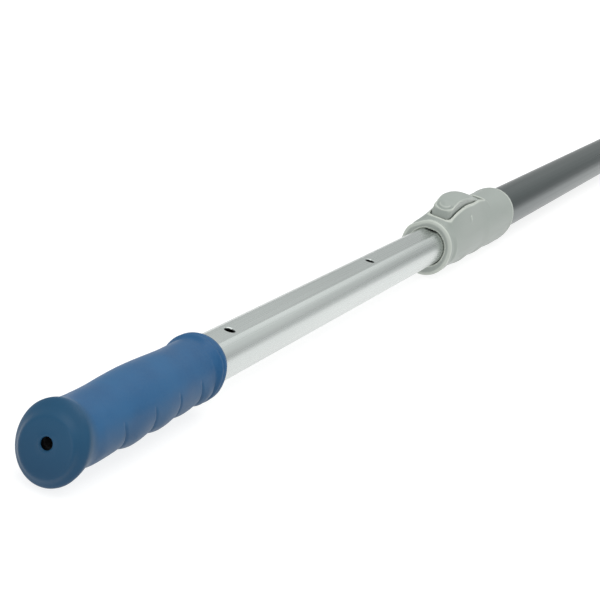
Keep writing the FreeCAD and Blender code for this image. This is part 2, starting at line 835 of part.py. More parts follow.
parts = [
    make_grip(),
    make_inner_tube(),
    make_butt_plug(),
    make_guide_plug(),
    make_guide_ring(),
    make_guide_rivets(),
    make_float("inner_float", size("inner_float_start"), size("inner_float_length"),
               plug_radius, plug_flat),
    make_outer_tube(),
    make_reducer_bush(),
    make_lock_collar(),
    make_collar_screws(),
    make_lever_pivot(),
    make_lever_spring(),
    make_lock_lever(),
    make_lock_pin(),
    make_hook_head(),
    make_head_screws(),
    make_head_seal(),
    make_float("outer_float", size("outer_float_start"), size("outer_float_length"),
               outer_bore - size("plug_gap")),
]
doc.recompute()

for item in doc.Objects:
    if "Invalid" in item.State or "Error" in item.State:
        raise RuntimeError(f"{item.Name} failed: {item.State}")
for item in parts:
    if item.Shape.isNull() or not item.Shape.isValid():
        raise RuntimeError(f"{item.Label} has no valid shape")

os.makedirs("parts", exist_ok=True)
for item in parts:
    item.Shape.exportStep(f"parts/{item.Label}.step")
    box = item.Shape.BoundBox
    print(f"{item.Label}: {len(item.Shape.Solids)} solids, {item.Shape.Volume / 1000:.2f} cm3, "
          f"X {box.XMin:.1f} to {box.XMax:.1f}, Z {box.ZMin:.1f} to {box.ZMax:.1f}")
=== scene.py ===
import math

import bpy
import numpy as np
from mathutils import Matrix, Vector


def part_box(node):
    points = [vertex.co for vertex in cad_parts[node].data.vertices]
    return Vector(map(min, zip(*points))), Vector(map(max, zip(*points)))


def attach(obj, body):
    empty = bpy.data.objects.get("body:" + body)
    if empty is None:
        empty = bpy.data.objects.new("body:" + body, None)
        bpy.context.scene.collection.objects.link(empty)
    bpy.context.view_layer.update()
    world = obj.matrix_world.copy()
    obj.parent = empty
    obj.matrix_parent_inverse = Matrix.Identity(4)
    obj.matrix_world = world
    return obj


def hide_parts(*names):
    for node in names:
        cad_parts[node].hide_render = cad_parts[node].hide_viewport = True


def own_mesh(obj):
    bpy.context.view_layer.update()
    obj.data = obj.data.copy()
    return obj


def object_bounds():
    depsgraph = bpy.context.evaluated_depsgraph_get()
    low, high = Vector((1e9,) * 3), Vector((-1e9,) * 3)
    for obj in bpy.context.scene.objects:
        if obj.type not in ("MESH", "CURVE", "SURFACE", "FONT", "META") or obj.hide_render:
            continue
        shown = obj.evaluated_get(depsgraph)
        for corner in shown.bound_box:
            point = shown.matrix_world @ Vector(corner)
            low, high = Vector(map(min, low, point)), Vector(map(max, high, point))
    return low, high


# Looks of the telescoping boat hook. Shapes are worked out in millimetres in the shared frame
# and stored in metres.

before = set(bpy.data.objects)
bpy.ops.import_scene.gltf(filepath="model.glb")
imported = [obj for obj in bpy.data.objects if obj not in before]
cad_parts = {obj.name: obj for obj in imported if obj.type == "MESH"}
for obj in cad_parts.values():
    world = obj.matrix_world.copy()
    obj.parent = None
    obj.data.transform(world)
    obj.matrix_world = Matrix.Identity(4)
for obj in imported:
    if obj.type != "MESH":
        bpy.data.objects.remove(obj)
cad_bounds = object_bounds()
MM = 0.001


# ---------------------------------------------------------------- meshes from fields

# rounds that draw points onto the surface, and the least squared slope they divide by
SETTLE_ROUNDS = 4
LEAST_SLOPE = 0.05
# how far to each side of a point its bend is measured
BEND_REACH = 0.8


def smooth_min(a, b, width):
    """The smaller of the two, rounded off over that width where they meet."""
    overlap = np.maximum(width - np.abs(a - b), 0.0) / width
    return np.minimum(a, b) - overlap * overlap * width * 0.25


def smooth_max(a, b, width):
    return -smooth_min(-a, -b, width)


def step_between(value, low, high):
    """0 below low, 1 above high and smooth between."""
    t = np.clip((value - low) / (high - low), 0.0, 1.0)
    return t * t * (3.0 - 2.0 * t)


def gradient(field, points, reach=0.02):
    result = np.empty_like(points)
    for axis in range(3):
        ahead = points.copy()
        behind = points.copy()
        ahead[:, axis] += reach
        behind[:, axis] -= reach
        result[:, axis] = (field(*ahead.T) - field(*behind.T)) / (2.0 * reach)
    return result


def net(field, low, high, pitch):
    """Vertices and outward quads of the closed surface where field is zero."""
    low = np.array(low, float)
    counts = [int(math.ceil((end - start) / pitch)) + 1 for start, end in zip(low, high)]
    axes = [start + pitch * np.arange(n) for start, n in zip(low, counts)]
    grid = np.meshgrid(*axes, indexing="ij")
    value = field(*grid)
    inside = value < 0.0
    shape = tuple(n - 1 for n in counts)
    corners = [(i, j, k) for i in (0, 1) for j in (0, 1) for k in (0, 1)]

    def corner(array, place):
        return array[tuple(slice(p, p + n) for p, n in zip(place, shape))]

    total = np.zeros(shape + (3,))
    hits = np.zeros(shape)
    for first in corners:
        for axis in range(3):
            if first[axis]:
                continue
            last = tuple(p + (1 if a == axis else 0) for a, p in enumerate(first))
            cross = corner(inside, first) != corner(inside, last)
            at_first = corner(value, first)[cross]
            at_last = corner(value, last)[cross]
            part = np.empty((len(at_first), 3))
            part[:] = first
            part[:, axis] += at_first / (at_first - at_last)
            total[cross] += part
            hits[cross] += 1
    used = hits > 0
    number = np.full(shape, -1)
    number[used] = np.arange(int(used.sum()))
    cells = np.argwhere(used)
    points = low + pitch * (cells + total[used] / hits[used][:, None])
    quads = []
    for axis in range(3):
        other = [a for a in range(3) if a != axis]
        lower = [slice(0, -1) if a == axis else slice(1, -1) for a in range(3)]
        upper = [slice(1, None) if a == axis else slice(1, -1) for a in range(3)]
        a_in = inside[tuple(lower)]
        b_in = inside[tuple(upper)]
        around = []
        for du, dv in ((0, 0), (1, 0), (1, 1), (0, 1)):
            place = [slice(None)] * 3
            for a, d in zip(other, (du, dv)):
                place[a] = slice(d, shape[a] - 1 + d)
            around.append(number[tuple(place)])
        around = np.stack(around, axis=-1)
        flip = axis == 1
        for chosen, turned in ((a_in & ~b_in, flip), (~a_in & b_in, not flip)):
            found = around[chosen]
            quads.append(found[:, ::-1] if turned else found)
    quads = np.concatenate(quads)
    for _ in range(SETTLE_ROUNDS):
        slope = gradient(field, points)
        size = np.maximum((slope * slope).sum(1), LEAST_SLOPE)
        move = -(field(*points.T) / size)[:, None] * slope
        points = points + np.clip(move, -pitch * 0.5, pitch * 0.5)
    slope = gradient(field, points)
    normals = slope / np.maximum(np.linalg.norm(slope, axis=1), 1e-9)[:, None]
    return points, quads, normals


def build(name, points, faces, normals=None):
    """A mesh object from millimetre points and equal-sided faces."""
    faces = np.asarray(faces)
    sides = faces.shape[1]
    mesh = bpy.data.meshes.new(name)
    mesh.vertices.add(len(points))
    mesh.vertices.foreach_set("co", (np.asarray(points) * MM).astype(np.float32).ravel())
    mesh.loops.add(faces.size)
    mesh.loops.foreach_set("vertex_index", faces.astype(np.int32).ravel())
    mesh.polygons.add(len(faces))
    starts = (np.arange(len(faces)) * sides).astype(np.int32)
    mesh.polygons.foreach_set("loop_start", starts)
    mesh.polygons.foreach_set("use_smooth", np.ones(len(faces), bool))
    mesh.update(calc_edges=True)
    mesh.validate()
    if normals is not None:
        mesh.normals_split_custom_set_from_vertices(normals.tolist())
    piece = bpy.data.objects.new(name, mesh)
    bpy.context.scene.collection.objects.link(piece)
    return piece


def loop_faces(rows, columns):
    """Quads of a surface that closes both along its rows and round its columns."""
    row, column = np.meshgrid(np.arange(rows), np.arange(columns), indexing="ij")
    next_row = (row + 1) % rows
    next_column = (column + 1) % columns
    return np.stack([
        row * columns + column,
        next_row * columns + column,
        next_row * columns + next_column,
        row * columns + next_column,
    ], axis=-1).reshape(-1, 4)


def carve(name, field, low, high, pitch, highlight_scale=1.0):
    """The solid where field is below zero, with how sharply it bends stored as edge, which drives a painted
    highlight on its convex edges; the last argument scales that highlight.
    """
    points, faces, normals = net(field, low, high, pitch)
    piece = build(name, points, faces, normals)
    bend = -6.0 * field(*points.T)
    for axis in range(3):
        for way in (-BEND_REACH, BEND_REACH):
            moved = points.copy()
            moved[:, axis] += way
            bend += field(*moved.T)
    edge = piece.data.attributes.new("edge", "FLOAT", "POINT")
    edge.data.foreach_set("value", (highlight_scale * bend / BEND_REACH ** 2).astype(np.float32))
    return piece


# ---------------------------------------------------------------- sizes read from the frame

tube_low, tube_high = (np.array(v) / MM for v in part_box("inner_tube"))
outer_high = np.array(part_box("outer_tube")[1]) / MM
collar_low, collar_high = (np.array(v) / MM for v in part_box("lock_collar"))
lever_low, lever_high = (np.array(v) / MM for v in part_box("lock_lever"))
grip_high = np.array(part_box("grip")[1]) / MM
head_low, head_high = (np.array(v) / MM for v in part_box("hook_head"))
TUBE_R = float(tube_high[1])
FLAT_Z = float(tube_high[2])
OUTER_R = float(outer_high[1])


# ---------------------------------------------------------------- lock collar

RING_LENGTH = 7.0
BARREL_R = 19.2
SLEEVE_R = 19.75
MOUTH_FLAT = FLAT_Z + 0.63
WELL_FLOOR = 13.6
WELL_GAP = 0.75
CROWN_HALF = 8.0
COLLAR_START = float(collar_low[0])
COLLAR_END = float(collar_high[0])
PIVOT_X = 497.0
PIVOT_Z = 18.0
PIVOT_END = 11.4
PIVOT_BORE_R = 1.52
PIVOT_BOSS = 0.62
PIN_X = 525.0
PIN_BORE_R = 3.2
SEAM_X = 530.0
SOCKET_X = 556.0
SCREW_X = [566.0, 581.0]
SCREW_HEAD_R = 3.5
SCREW_SHANK_R = 1.85
SCREW_SEAT_DEPTH = 1.9
REAR_SLOPE = 7.8
REAR_SWEEP = 16.0
LEVER_FRONT = float(lever_low[0])
LEVER_TIP = float(lever_high[0])
LEVER_TIP_LENGTH = 8.2
LEVER_TIP_R = 4.2

# the scalloped underside: radius at each place along X
UNDER_X = [452.0, 464.0, 473.0, 481.0, 485.4, 486.6, 489.5, 494.5, 501.0, 510.0, 519.9, 521.1, 524.5, 530.0,
           539.0, 553.0, 554.2, 558.0, 564.0, 575.0, 590.0]
UNDER_R = [18.6, 18.1, 18.4, 18.85, 18.85, 18.9, 19.5, 19.75, 19.4, 19.1, 18.9, 18.95, 19.55, 19.85,
           19.5, 19.15, 19.2, 19.75, 20.1, 20.15, 19.7]
# the hump's two cheeks: height and half width at each place along X
CHEEK_X = [452.0, 456.0, 459.5, 462.0, 468.0, 477.0, 486.0, 494.0, 506.5, 529.0, 545.0, 556.0, 562.0]
CHEEK_Z = [16.6, 17.7, 20.0, 22.3, 24.6, 26.5, 27.7, 28.0, 27.4, 25.2, 22.3, 20.1, 16.5]
CHEEK_W = [5.0, 5.6, 6.3, 7.0, 7.9, 8.5, 8.6, 8.6, 8.2, 7.0, 6.0, 4.6, 3.0]


def smooth_curve(x, knots, values):
    """A smooth line through the knots, flat beyond its ends."""
    knots = np.array(knots, float)
    values = np.array(values, float)
    slopes = np.gradient(values, knots)
    x = np.clip(x, knots[0], knots[-1])
    place = np.clip(np.searchsorted(knots, x) - 1, 0, len(knots) - 2)
    span = knots[place + 1] - knots[place]
    t = (x - knots[place]) / span
    from_first = 2 * t ** 3 - 3 * t ** 2 + 1
    leaving = t ** 3 - 2 * t ** 2 + t
    from_next = -2 * t ** 3 + 3 * t ** 2
    arriving = t ** 3 - t ** 2
    result = from_first * values[place] + leaving * span * slopes[place]
    return result + from_next * values[place + 1] + arriving * span * slopes[place + 1]


def hull(y, z, radius, width, height, crown, soft):
    """A circle of that radius joined by straight flanks to a crowned top of that half width and height."""
    reach = np.hypot(width, height)
    tall = reach > radius
    lean = np.arctan2(height, width) - np.arccos(np.clip(radius / np.maximum(reach, radius), -1, 1))
    side = np.abs(y)
    angle = np.arctan2(z, side)
    flank = side * np.cos(lean) + z * np.sin(lean) - radius
    above = smooth_max(flank, z - height + crown * (y / CROWN_HALF) ** 2, soft)
    round_part = np.hypot(y, z) - radius
    return np.where(tall & (angle > lean), above, round_part)


def lever_half(x):
    """The lever's half width."""
    return 6.9 + 0.3 * step_between(x, 462.0, 480.0) - 3.0 * step_between(x, 500.0, 546.0)


def lever_plan(x, y, gap):
    """Below zero inside the lever's outline from above, grown by gap."""
    tip_start = LEVER_TIP - LEVER_TIP_LENGTH
    sides = np.abs(y) - lever_half(x)
    front = LEVER_FRONT - x + y * y / 45.0
    tip = np.hypot(np.maximum(x - tip_start, 0.0), y) - LEVER_TIP_R
    return np.where(x > tip_start, tip, smooth_max(sides, front, 2.8)) - gap


def from_pivot(x, z):
    """Distance from the lever's pivot."""
    return np.hypot(x - PIVOT_X, z - PIVOT_Z)


def collar_radius(x, up, down, far):
    """The collar's round part: front ring, barrel with its scalloped underside, and sleeve."""
    bead = 0.15 * np.exp(-((x - COLLAR_START - 1.6) / 0.9) ** 2)
    ring = 17.8 + 0.5 * up ** 2 + 2.5 * down ** 1.6 + bead
    ring = ring + far * (0.7 - 1.5 * step_between(up, 0.45, 0.85))
    barrel = BARREL_R + (SLEEVE_R - BARREL_R) * step_between(x, SEAM_X - 9.0, SEAM_X + 9.0)
    below = step_between(down, 0.15, 0.62)
    barrel = barrel + (smooth_curve(x, UNDER_X, UNDER_R) - barrel) * below
    ring_end = COLLAR_START + RING_LENGTH
    return ring + (barrel - ring) * step_between(x, ring_end - 3.0 * up, ring_end + 5.0)


def collar_outside(x, y, z, up, down):
    """The collar's closed outer form, with the hump that carries the lever."""
    far = step_between(y, 2.0, 12.0)
    radius = collar_radius(x, up, down, far)
    end = COLLAR_END - REAR_SLOPE * (1.0 - np.clip(z / SLEEVE_R, -1.0, 1.0))
    end = end - REAR_SWEEP * down ** 2 * (1.0 - down)
    radius = radius + 0.35 * step_between(x - end, -3.8, -3.0)
    height = smooth_curve(x, CHEEK_X, CHEEK_Z)
    width = smooth_curve(x, CHEEK_X, CHEEK_W) - 1.3 * far * (1.0 - step_between(x, 480.0, 500.0))
    crown = 1.1 - 0.6 * step_between(x, 462.0, 474.0)
    outside = hull(y, z, radius, width, height, crown, 1.3)
    outside = smooth_max(outside, COLLAR_START - x, 2.4)
    outside = smooth_max(outside, x - end, 1.4)
    boss = PIVOT_BOSS * np.exp(-((x - PIVOT_X) ** 2 + (z - PIVOT_Z) ** 2) / 5.0)
    return outside - boss


def collar_holes(x, y, z, down):
    """The tubes' bore, and the holes for the lock pin, the pivot and the screws."""
    mouth = TUBE_R + 0.03 + 0.45 * step_between(down, 0.2, 0.65)
    bore = smooth_max(np.hypot(y, z) - mouth, z - MOUTH_FLAT, 0.3)
    bore = bore - 0.6 * np.maximum(1.0 - (x - COLLAR_START) / 0.9, 0.0)
    socket = np.maximum(np.hypot(y, z) - OUTER_R - 0.03, SOCKET_X - x)
    pin = np.maximum(np.hypot(x - PIN_X, y) - PIN_BORE_R, -z)
    pivot = np.maximum(from_pivot(x, z) - PIVOT_BORE_R, np.abs(y) - PIVOT_END)
    screw = np.minimum(np.hypot(x - SCREW_X[0], y), np.hypot(x - SCREW_X[1], y))
    heads = np.maximum(screw - SCREW_HEAD_R, z + SLEEVE_R - SCREW_SEAT_DEPTH)
    shanks = np.maximum(screw - SCREW_SHANK_R, z)
    cut = np.minimum(np.minimum(bore, socket), np.minimum(pin, pivot))
    return np.minimum(cut, np.minimum(heads, shanks))


def collar_field(x, y, z):
    """The collar: its outer form less the holes and the well round the lever."""
    reach = np.maximum(np.hypot(y, z), 1e-6)
    down = np.clip(-z / reach, 0.0, 1.0)
    up = np.clip(z / reach, 0.0, 1.0)
    solid = smooth_max(collar_outside(x, y, z, up, down), -collar_holes(x, y, z, down), 0.35)
    well = smooth_max(lever_plan(x, y, WELL_GAP), WELL_FLOOR - z, 0.5)
    return smooth_max(solid, -well, 0.9)


# ---------------------------------------------------------------- lock lever

# the lever's top: height at each place along X
TOP_X = [461.0, 462.6, 464.5, 467.0, 470.0, 473.0, 478.0, 484.0, 490.0, 498.0, 510.0, 524.0, 534.0, 542.0,
         547.0, 550.5]
TOP_Z = [26.2, 27.2, 28.2, 29.3, 30.5, 31.5, 32.7, 33.4, 33.5, 32.7, 30.2, 26.8, 24.1, 22.1, 20.8, 20.1]
PAD_X = 466.9
SKIRT_Z = 19.6
HUB_R = 3.4
HUB_HALF = 7.2
HUB_BORE_R = 1.55
PIN_SEAT_R = 2.22
PIN_SEAT_TOP = 22.0
SPRING_X = 471.0
SPRING_SEAT_R = 3.5
SPRING_SEAT_TOP = 23.6


def lever_field(x, y, z):
    """The lever: a domed shell with a ringed thumb pad, a hub on its pivot and seats for pin and spring."""
    top = smooth_curve(x, TOP_X, TOP_Z)
    dome = 0.5 + 1.5 * step_between(x, 472.0, 490.0)
    top = top - dome * (y / lever_half(x)) ** 2
    pad = np.hypot((x - PAD_X) / 5.0, y / 5.5)
    front = step_between(PAD_X - x, -2.0, 1.2)
    top = top - 0.95 * front * np.exp(-((pad - 0.95) / 0.17) ** 2)
    top = top + 0.75 * np.exp(-(pad / 0.5) ** 2)
    shell = smooth_max(lever_plan(x, y, 0.0), z - top, 0.9)
    skirt = SKIRT_Z - 1.3 * step_between(x, 488.0, 500.0)
    shell = smooth_max(shell, skirt - z, 0.6)
    hub = np.maximum(from_pivot(x, z) - HUB_R, np.abs(y) - HUB_HALF)
    shell = smooth_min(shell, hub, 0.6)
    hub_bore = from_pivot(x, z) - HUB_BORE_R
    pin_seat = np.maximum(np.hypot(x - PIN_X, y) - PIN_SEAT_R, z - PIN_SEAT_TOP)
    spring_seat = np.maximum(np.hypot(x - SPRING_X, y) - SPRING_SEAT_R, z - SPRING_SEAT_TOP)
    return np.maximum(np.maximum(shell, -hub_bore), np.maximum(-pin_seat, -spring_seat))


# ---------------------------------------------------------------- lever spring

SPRING_R = 2.6
SPRING_WIRE = 0.4
SPRING_HEIGHT = 9.6
SPRING_TURNS = 4.6
SPRING_SIDES = 8
SPRING_STEPS = 116


def make_spring():
    """The coil between the well's floor and the lever's thumb end."""
    turn = np.linspace(0.0, 2 * math.pi * SPRING_TURNS, SPRING_STEPS)
    rise = WELL_FLOOR + SPRING_WIRE + (SPRING_HEIGHT - 2 * SPRING_WIRE) * turn / turn[-1]
    around = np.arange(SPRING_SIDES) * 2 * math.pi / SPRING_SIDES
    reach = SPRING_R + SPRING_WIRE * np.cos(around)[None, :]
    x = SPRING_X + reach * np.cos(turn)[:, None]
    y = reach * np.sin(turn)[:, None]
    z = rise[:, None] + SPRING_WIRE * np.sin(around)[None, :]
    points = np.stack([x, y, z], axis=-1).reshape(-1, 3)
    faces = loop_faces(SPRING_STEPS, SPRING_SIDES)[:-SPRING_SIDES]
    cap = np.array([[0, 1, 2, 3], [0, 3, 4, 7], [4, 5, 6, 7]])
    last = (SPRING_STEPS - 1) * SPRING_SIDES
    return build("spring_coil", points, np.concatenate([faces, cap, cap[:, ::-1] + last]))


# ---------------------------------------------------------------- hook head

ARM_X = 1618.0
ARM_Y = 16.0
ARM_R = 36.0
ARM_START = -0.55
ARM_TIP = math.radians(122.0)
ARM_HALF_WIDE = 7.0
ARM_HALF_THICK = 6.5
PRONG_R = 9.0
RIM_R = 17.5
WEB_X = 1652.0
WEB_R = 22.0
WEB_HALF_THICK = 3.0
CORE_R = 11.0
HEAD_JOINT = float(outer_high[0])
HEAD_END = 1702.0
HEAD_SCREW_X = 1534.0
SEAL_X = 1518.0


def stem_radius(x):
    """The head's stem, from the rim at the tube's end to the prong."""
    knots = [HEAD_JOINT, HEAD_JOINT + 1.2, HEAD_JOINT + 11.0, HEAD_JOINT + 14.0, HEAD_JOINT + 25.0,
             HEAD_JOINT + 45.0, HEAD_JOINT + 80.0, HEAD_JOINT + 110.0, HEAD_JOINT + 143.0]
    radii = [17.0, RIM_R, RIM_R, 16.2, 11.6, 10.3, 10.4, 9.4, PRONG_R]
    return smooth_curve(x, knots, radii)


def arm_field(x, y, z):
    """Both hook arms at once, from the prong round to their blunt tips."""
    side = np.abs(y)
    angle = np.arctan2(side - ARM_Y, x - ARM_X)
    angle = np.clip(angle, ARM_START, ARM_TIP)
    dx = x - ARM_X - ARM_R * np.cos(angle)
    dy = side - ARM_Y - ARM_R * np.sin(angle)
    across = np.hypot(dx, dy)
    taper = 1.0 - 0.16 * step_between(angle, 0.6, ARM_TIP)
    half_wide = ARM_HALF_WIDE * taper
    half_thick = ARM_HALF_THICK * taper
    power = 2.6
    size = (np.abs(across / half_wide) ** power + np.abs(z / half_thick) ** power + 1e-9) ** (1 / power)
    return (size - 1.0) * half_thick


def head_field(x, y, z):
    """The hook head: stem, prong, arms and the web between them, on a hollow spigot."""
    r = np.hypot(y, z)
    stem = np.maximum(r - stem_radius(x), HEAD_JOINT - x)
    end = HEAD_END - PRONG_R
    blunt = np.hypot(np.maximum(x - end, 0.0), r) - PRONG_R
    stem = np.where(x > end, blunt, stem)
    rim_groove = np.hypot(r - RIM_R, x - HEAD_JOINT - 6.0) - 0.9
    stem = smooth_max(stem, -rim_groove, 0.5)
    body = smooth_min(stem, arm_field(x, y, z), 9.0)
    web = smooth_max(np.abs(z) - WEB_HALF_THICK, np.hypot(x - WEB_X, y) - WEB_R, 2.0)
    body = smooth_min(body, web, 3.0)
    spigot = np.maximum(r - (OUTER_R - 1.35), np.abs(x - HEAD_SCREW_X) - 25.0)
    seal_groove = np.maximum(12.7 - r, np.abs(x - SEAL_X) - 1.2)
    spigot = np.maximum(spigot, -seal_groove)
    body = np.minimum(np.maximum(body, HEAD_JOINT - x), spigot)
    screw = np.hypot(x - HEAD_SCREW_X, z) - SCREW_SHANK_R
    core = np.maximum(r - CORE_R, np.abs(x - (HEAD_SCREW_X + 4.0)) - 29.0)
    return np.maximum(np.maximum(body, -screw), -core)


# ---------------------------------------------------------------- grip

GRIP_COLUMNS = 168
# how far the pommel's face leans, as X for each millimetre of Z
SLANT = math.tan(math.radians(12.5))
BORE_GAP = 0.04
# where the body begins to widen into the mouth's flange
FLANGE_X = 104.0
# where the finger lobes begin, and the radius at their peaks and at the creases between them
CREASES = [13.6, 31.2, 55.0, 76.5, 97.7]
LOBE_END = 114.0
LOBE_PEAKS = [15.7, 16.6, 16.6, 16.0, 16.5]
LOBE_VALLEYS = [15.6, 15.0, 15.2, 15.3, 15.0, 16.2]
# place and radius from the hole in the pommel, over its lip and face, to its rim
END_ROWS = [
    (2.0, 6.0), (-0.2, 6.0), (-0.9, 3.0), (-1.3, 2.7), (-1.65, 2.8), (-2.0, 3.1), (-2.15, 3.45),
    (-2.05, 3.8), (-1.85, 4.3), (-1.8, 6.0), (-1.75, 8.0), (-1.7, 9.6), (-1.65, 10.8), (-1.6, 11.7),
    (-1.35, 12.4), (-0.85, 13.0), (0.0, 13.9), (0.95, 14.8), (1.7, 15.9), (2.35, 16.8), (3.0, 17.5),
    (3.7, 17.95),
]
# the back of the grip: radius at each place along X
BODY_X = [4.4, 6.0, 8.0, 10.5, 13.0, 16.0, 20.0, 26.0, 36.0, 50.0, 63.0, 80.0, 92.0, 104.0, 111.0, 115.0,
          116.4, 117.8, 118.9, 119.9, 121.4, 123.2, 124.4]
BODY_R = [18.2, 18.0, 17.5, 16.6, 15.9, 15.5, 15.2, 15.1, 15.2, 15.9, 16.3, 16.0, 15.55, 15.25, 15.15, 15.25,
          15.8, 16.5, 16.75, 16.2, 16.6, 16.5, 15.8]


def underside(x):
    """The grip's radius under the fingers: each lobe swells fast and falls slowly to the next crease."""
    swell = 0.36
    result = smooth_curve(x, BODY_X, BODY_R)
    ends = CREASES[1:] + [LOBE_END]
    for start, end, peak, low, high in zip(CREASES, ends, LOBE_PEAKS, LOBE_VALLEYS, LOBE_VALLEYS[1:]):
        u = (x - start) / (end - start)
        rise = np.sin(np.clip(u / swell, 0, 1) * math.pi / 2)
        fall = np.clip((u - swell) / (1 - swell), 0, 1)
        lobe = low + (peak - low) * rise - (peak - high) * fall ** 1.8
        result = np.where((u >= 0) & (u < 1), lobe, result)
    return result


def grip_places():
    """Places along the grip's body, closer together at the creases and the mouth."""
    last = BODY_X[-1]
    places = [np.arange(BODY_X[0], FLANGE_X, 1.25), np.arange(FLANGE_X, last - 0.5, 0.7), [last]]
    places = np.concatenate(places)
    for crease in CREASES[1:]:
        places = places[np.abs(places - crease) > 1.6]
        places = np.concatenate([places, crease + np.array([-1.4, -0.8, -0.35, 0.0, 0.35, 0.8, 1.4])])
    return np.sort(places)


def mouth_sweep(lift):
    """How far the mouth draws back at each height round it."""
    return 0.4 + 2.6 * step_between(-lift, -0.6, 0.25)


def grip_row(x, turn):
    """One ring of the grip's body: X and radius at each angle round it."""
    lift = np.sin(turn)
    under = step_between(-lift, -0.30, 0.35)
    top = float(smooth_curve(np.array(x), BODY_X, BODY_R))
    low = float(underside(np.array(x)))
    r = top * (1 - under) + low * under
    groove = max(math.exp(-((x - crease) / 0.75) ** 2) for crease in CREASES[1:])
    r = r - 0.55 * groove * step_between(-lift, -0.42, -0.22)
    slope = 1.6 + 7.0 * np.clip((0.42 - lift) / 1.12, 0.0, 1.4)
    lean = slope * step_between(x, 16.0, 31.0) * (1 - step_between(x, 98.0, 118.0))
    late = 2.0 * step_between(np.cos(turn) + lift, 0.6, 1.2)
    place = x + lean - mouth_sweep(lift) * step_between(x, FLANGE_X, FLANGE_X + 16.0)
    return place + late * np.exp(-((x - (FLANGE_X + 8.0)) / 6.0) ** 2), r


def make_grip():
    """The grip as rings from the pommel's hole, over the outside, into the mouth and back along the bore."""
    turn = np.arange(GRIP_COLUMNS) * 2 * math.pi / GRIP_COLUMNS
    lift = np.sin(turn)
    rows = [(np.full(GRIP_COLUMNS, x), np.full(GRIP_COLUMNS, r)) for x, r in END_ROWS]
    rows += [grip_row(x, turn) for x in grip_places()]
    outside_rows = len(rows)
    mouth = float(grip_high[0])
    for x, r in ((mouth - 0.15, 15.6), (mouth, 14.9), (mouth, 14.0), (mouth - 0.2, 13.3)):
        rows.append((x - mouth_sweep(lift), np.full(GRIP_COLUMNS, r)))
    flat = np.minimum(TUBE_R + BORE_GAP, (FLAT_Z + 0.05) / np.maximum(lift, 1e-6))
    flat = np.where(lift > 0, flat, TUBE_R + BORE_GAP)
    for x in (mouth - 0.8, mouth - 30.0, 60.0, 4.6):
        rows.append((np.full(GRIP_COLUMNS, x), flat))
    for x, r in ((4.6, 12.0), (2.2, 11.0)):
        rows.append((np.full(GRIP_COLUMNS, x), np.full(GRIP_COLUMNS, r)))
    points = []
    for number, (x, r) in enumerate(rows):
        outside = number < outside_rows
        rim = (1 - step_between(x, 7.0, 20.0)) * step_between(r, 11.8, 16.5) * outside
        drop = -1.9 + 0.95 * step_between(x, 3.0, 14.0) + 0.6 * step_between(x, 96.0, 116.0)
        y = r * np.cos(turn) * (1.0 - 0.085 * rim) + 0.6 * rim
        z = r * lift + drop * step_between(r, 4.0, 15.0) * outside
        x = x + z * SLANT * (1 - step_between(x, 1.0, 15.0))
        points.append(np.stack([x, y, z], axis=1))
    return build("grip_vinyl", np.concatenate(points), loop_faces(len(rows), GRIP_COLUMNS))


# ---------------------------------------------------------------- inner tube

TUBE_WALL = 1.2
TUBE_CHAMFER = 0.3
TUBE_INSET = 3.0
SECTION_STEP = 24.0
LOCK_HOLES = [151.0 + 187.0 * n for n in range(5)]
HOLE_STEPS = np.linspace(-4.5, 4.5, 9)
# radius and depth of the rings from a square patch of the flat down into a lock hole
HOLE_LEVELS = [(3.9, 0.0), (3.5, 0.0), (3.15, 0.0), (3.08, 0.02), (2.95, 0.1), (2.83, 0.25), (2.78, 0.5),
               (2.78, 1.1), (2.85, 1.2), (3.0, 1.2)]
PATCH_FIRST = 2
PATCH_LAST = PATCH_FIRST + len(HOLE_STEPS) - 1


def tube_section(radius, flat):
    """The tube's outline, flat side first, as y and z."""
    half = math.sqrt(radius * radius - flat * flat)
    flat_y = np.concatenate([[half, half - 0.1], HOLE_STEPS[::-1], [0.1 - half, -half]])
    start = math.atan2(flat, -half)
    end = 2 * math.pi + math.atan2(flat, half)
    turn = np.concatenate([[start + 0.008], np.linspace(start + 0.06, end - 0.06, 88), [end - 0.008]])
    y = np.concatenate([flat_y, radius * np.cos(turn)])
    z = np.concatenate([np.full(len(flat_y), flat), radius * np.sin(turn)])
    return y, z


def wall(first, last):
    """Quads between two rings of equal length."""
    count = len(first)
    return [(first[i], first[(i + 1) % count], last[(i + 1) % count], last[i]) for i in range(count)]


def patch_rim(rows, columns):
    """Point numbers round the square patch of the flat between those rows."""
    rim = [rows[0] * columns + c for c in range(PATCH_FIRST, PATCH_LAST + 1)]
    rim += [r * columns + PATCH_LAST for r in rows[1:]]
    rim += [rows[-1] * columns + c for c in range(PATCH_LAST - 1, PATCH_FIRST - 1, -1)]
    rim += [r * columns + PATCH_FIRST for r in rows[-2:0:-1]]
    return rim


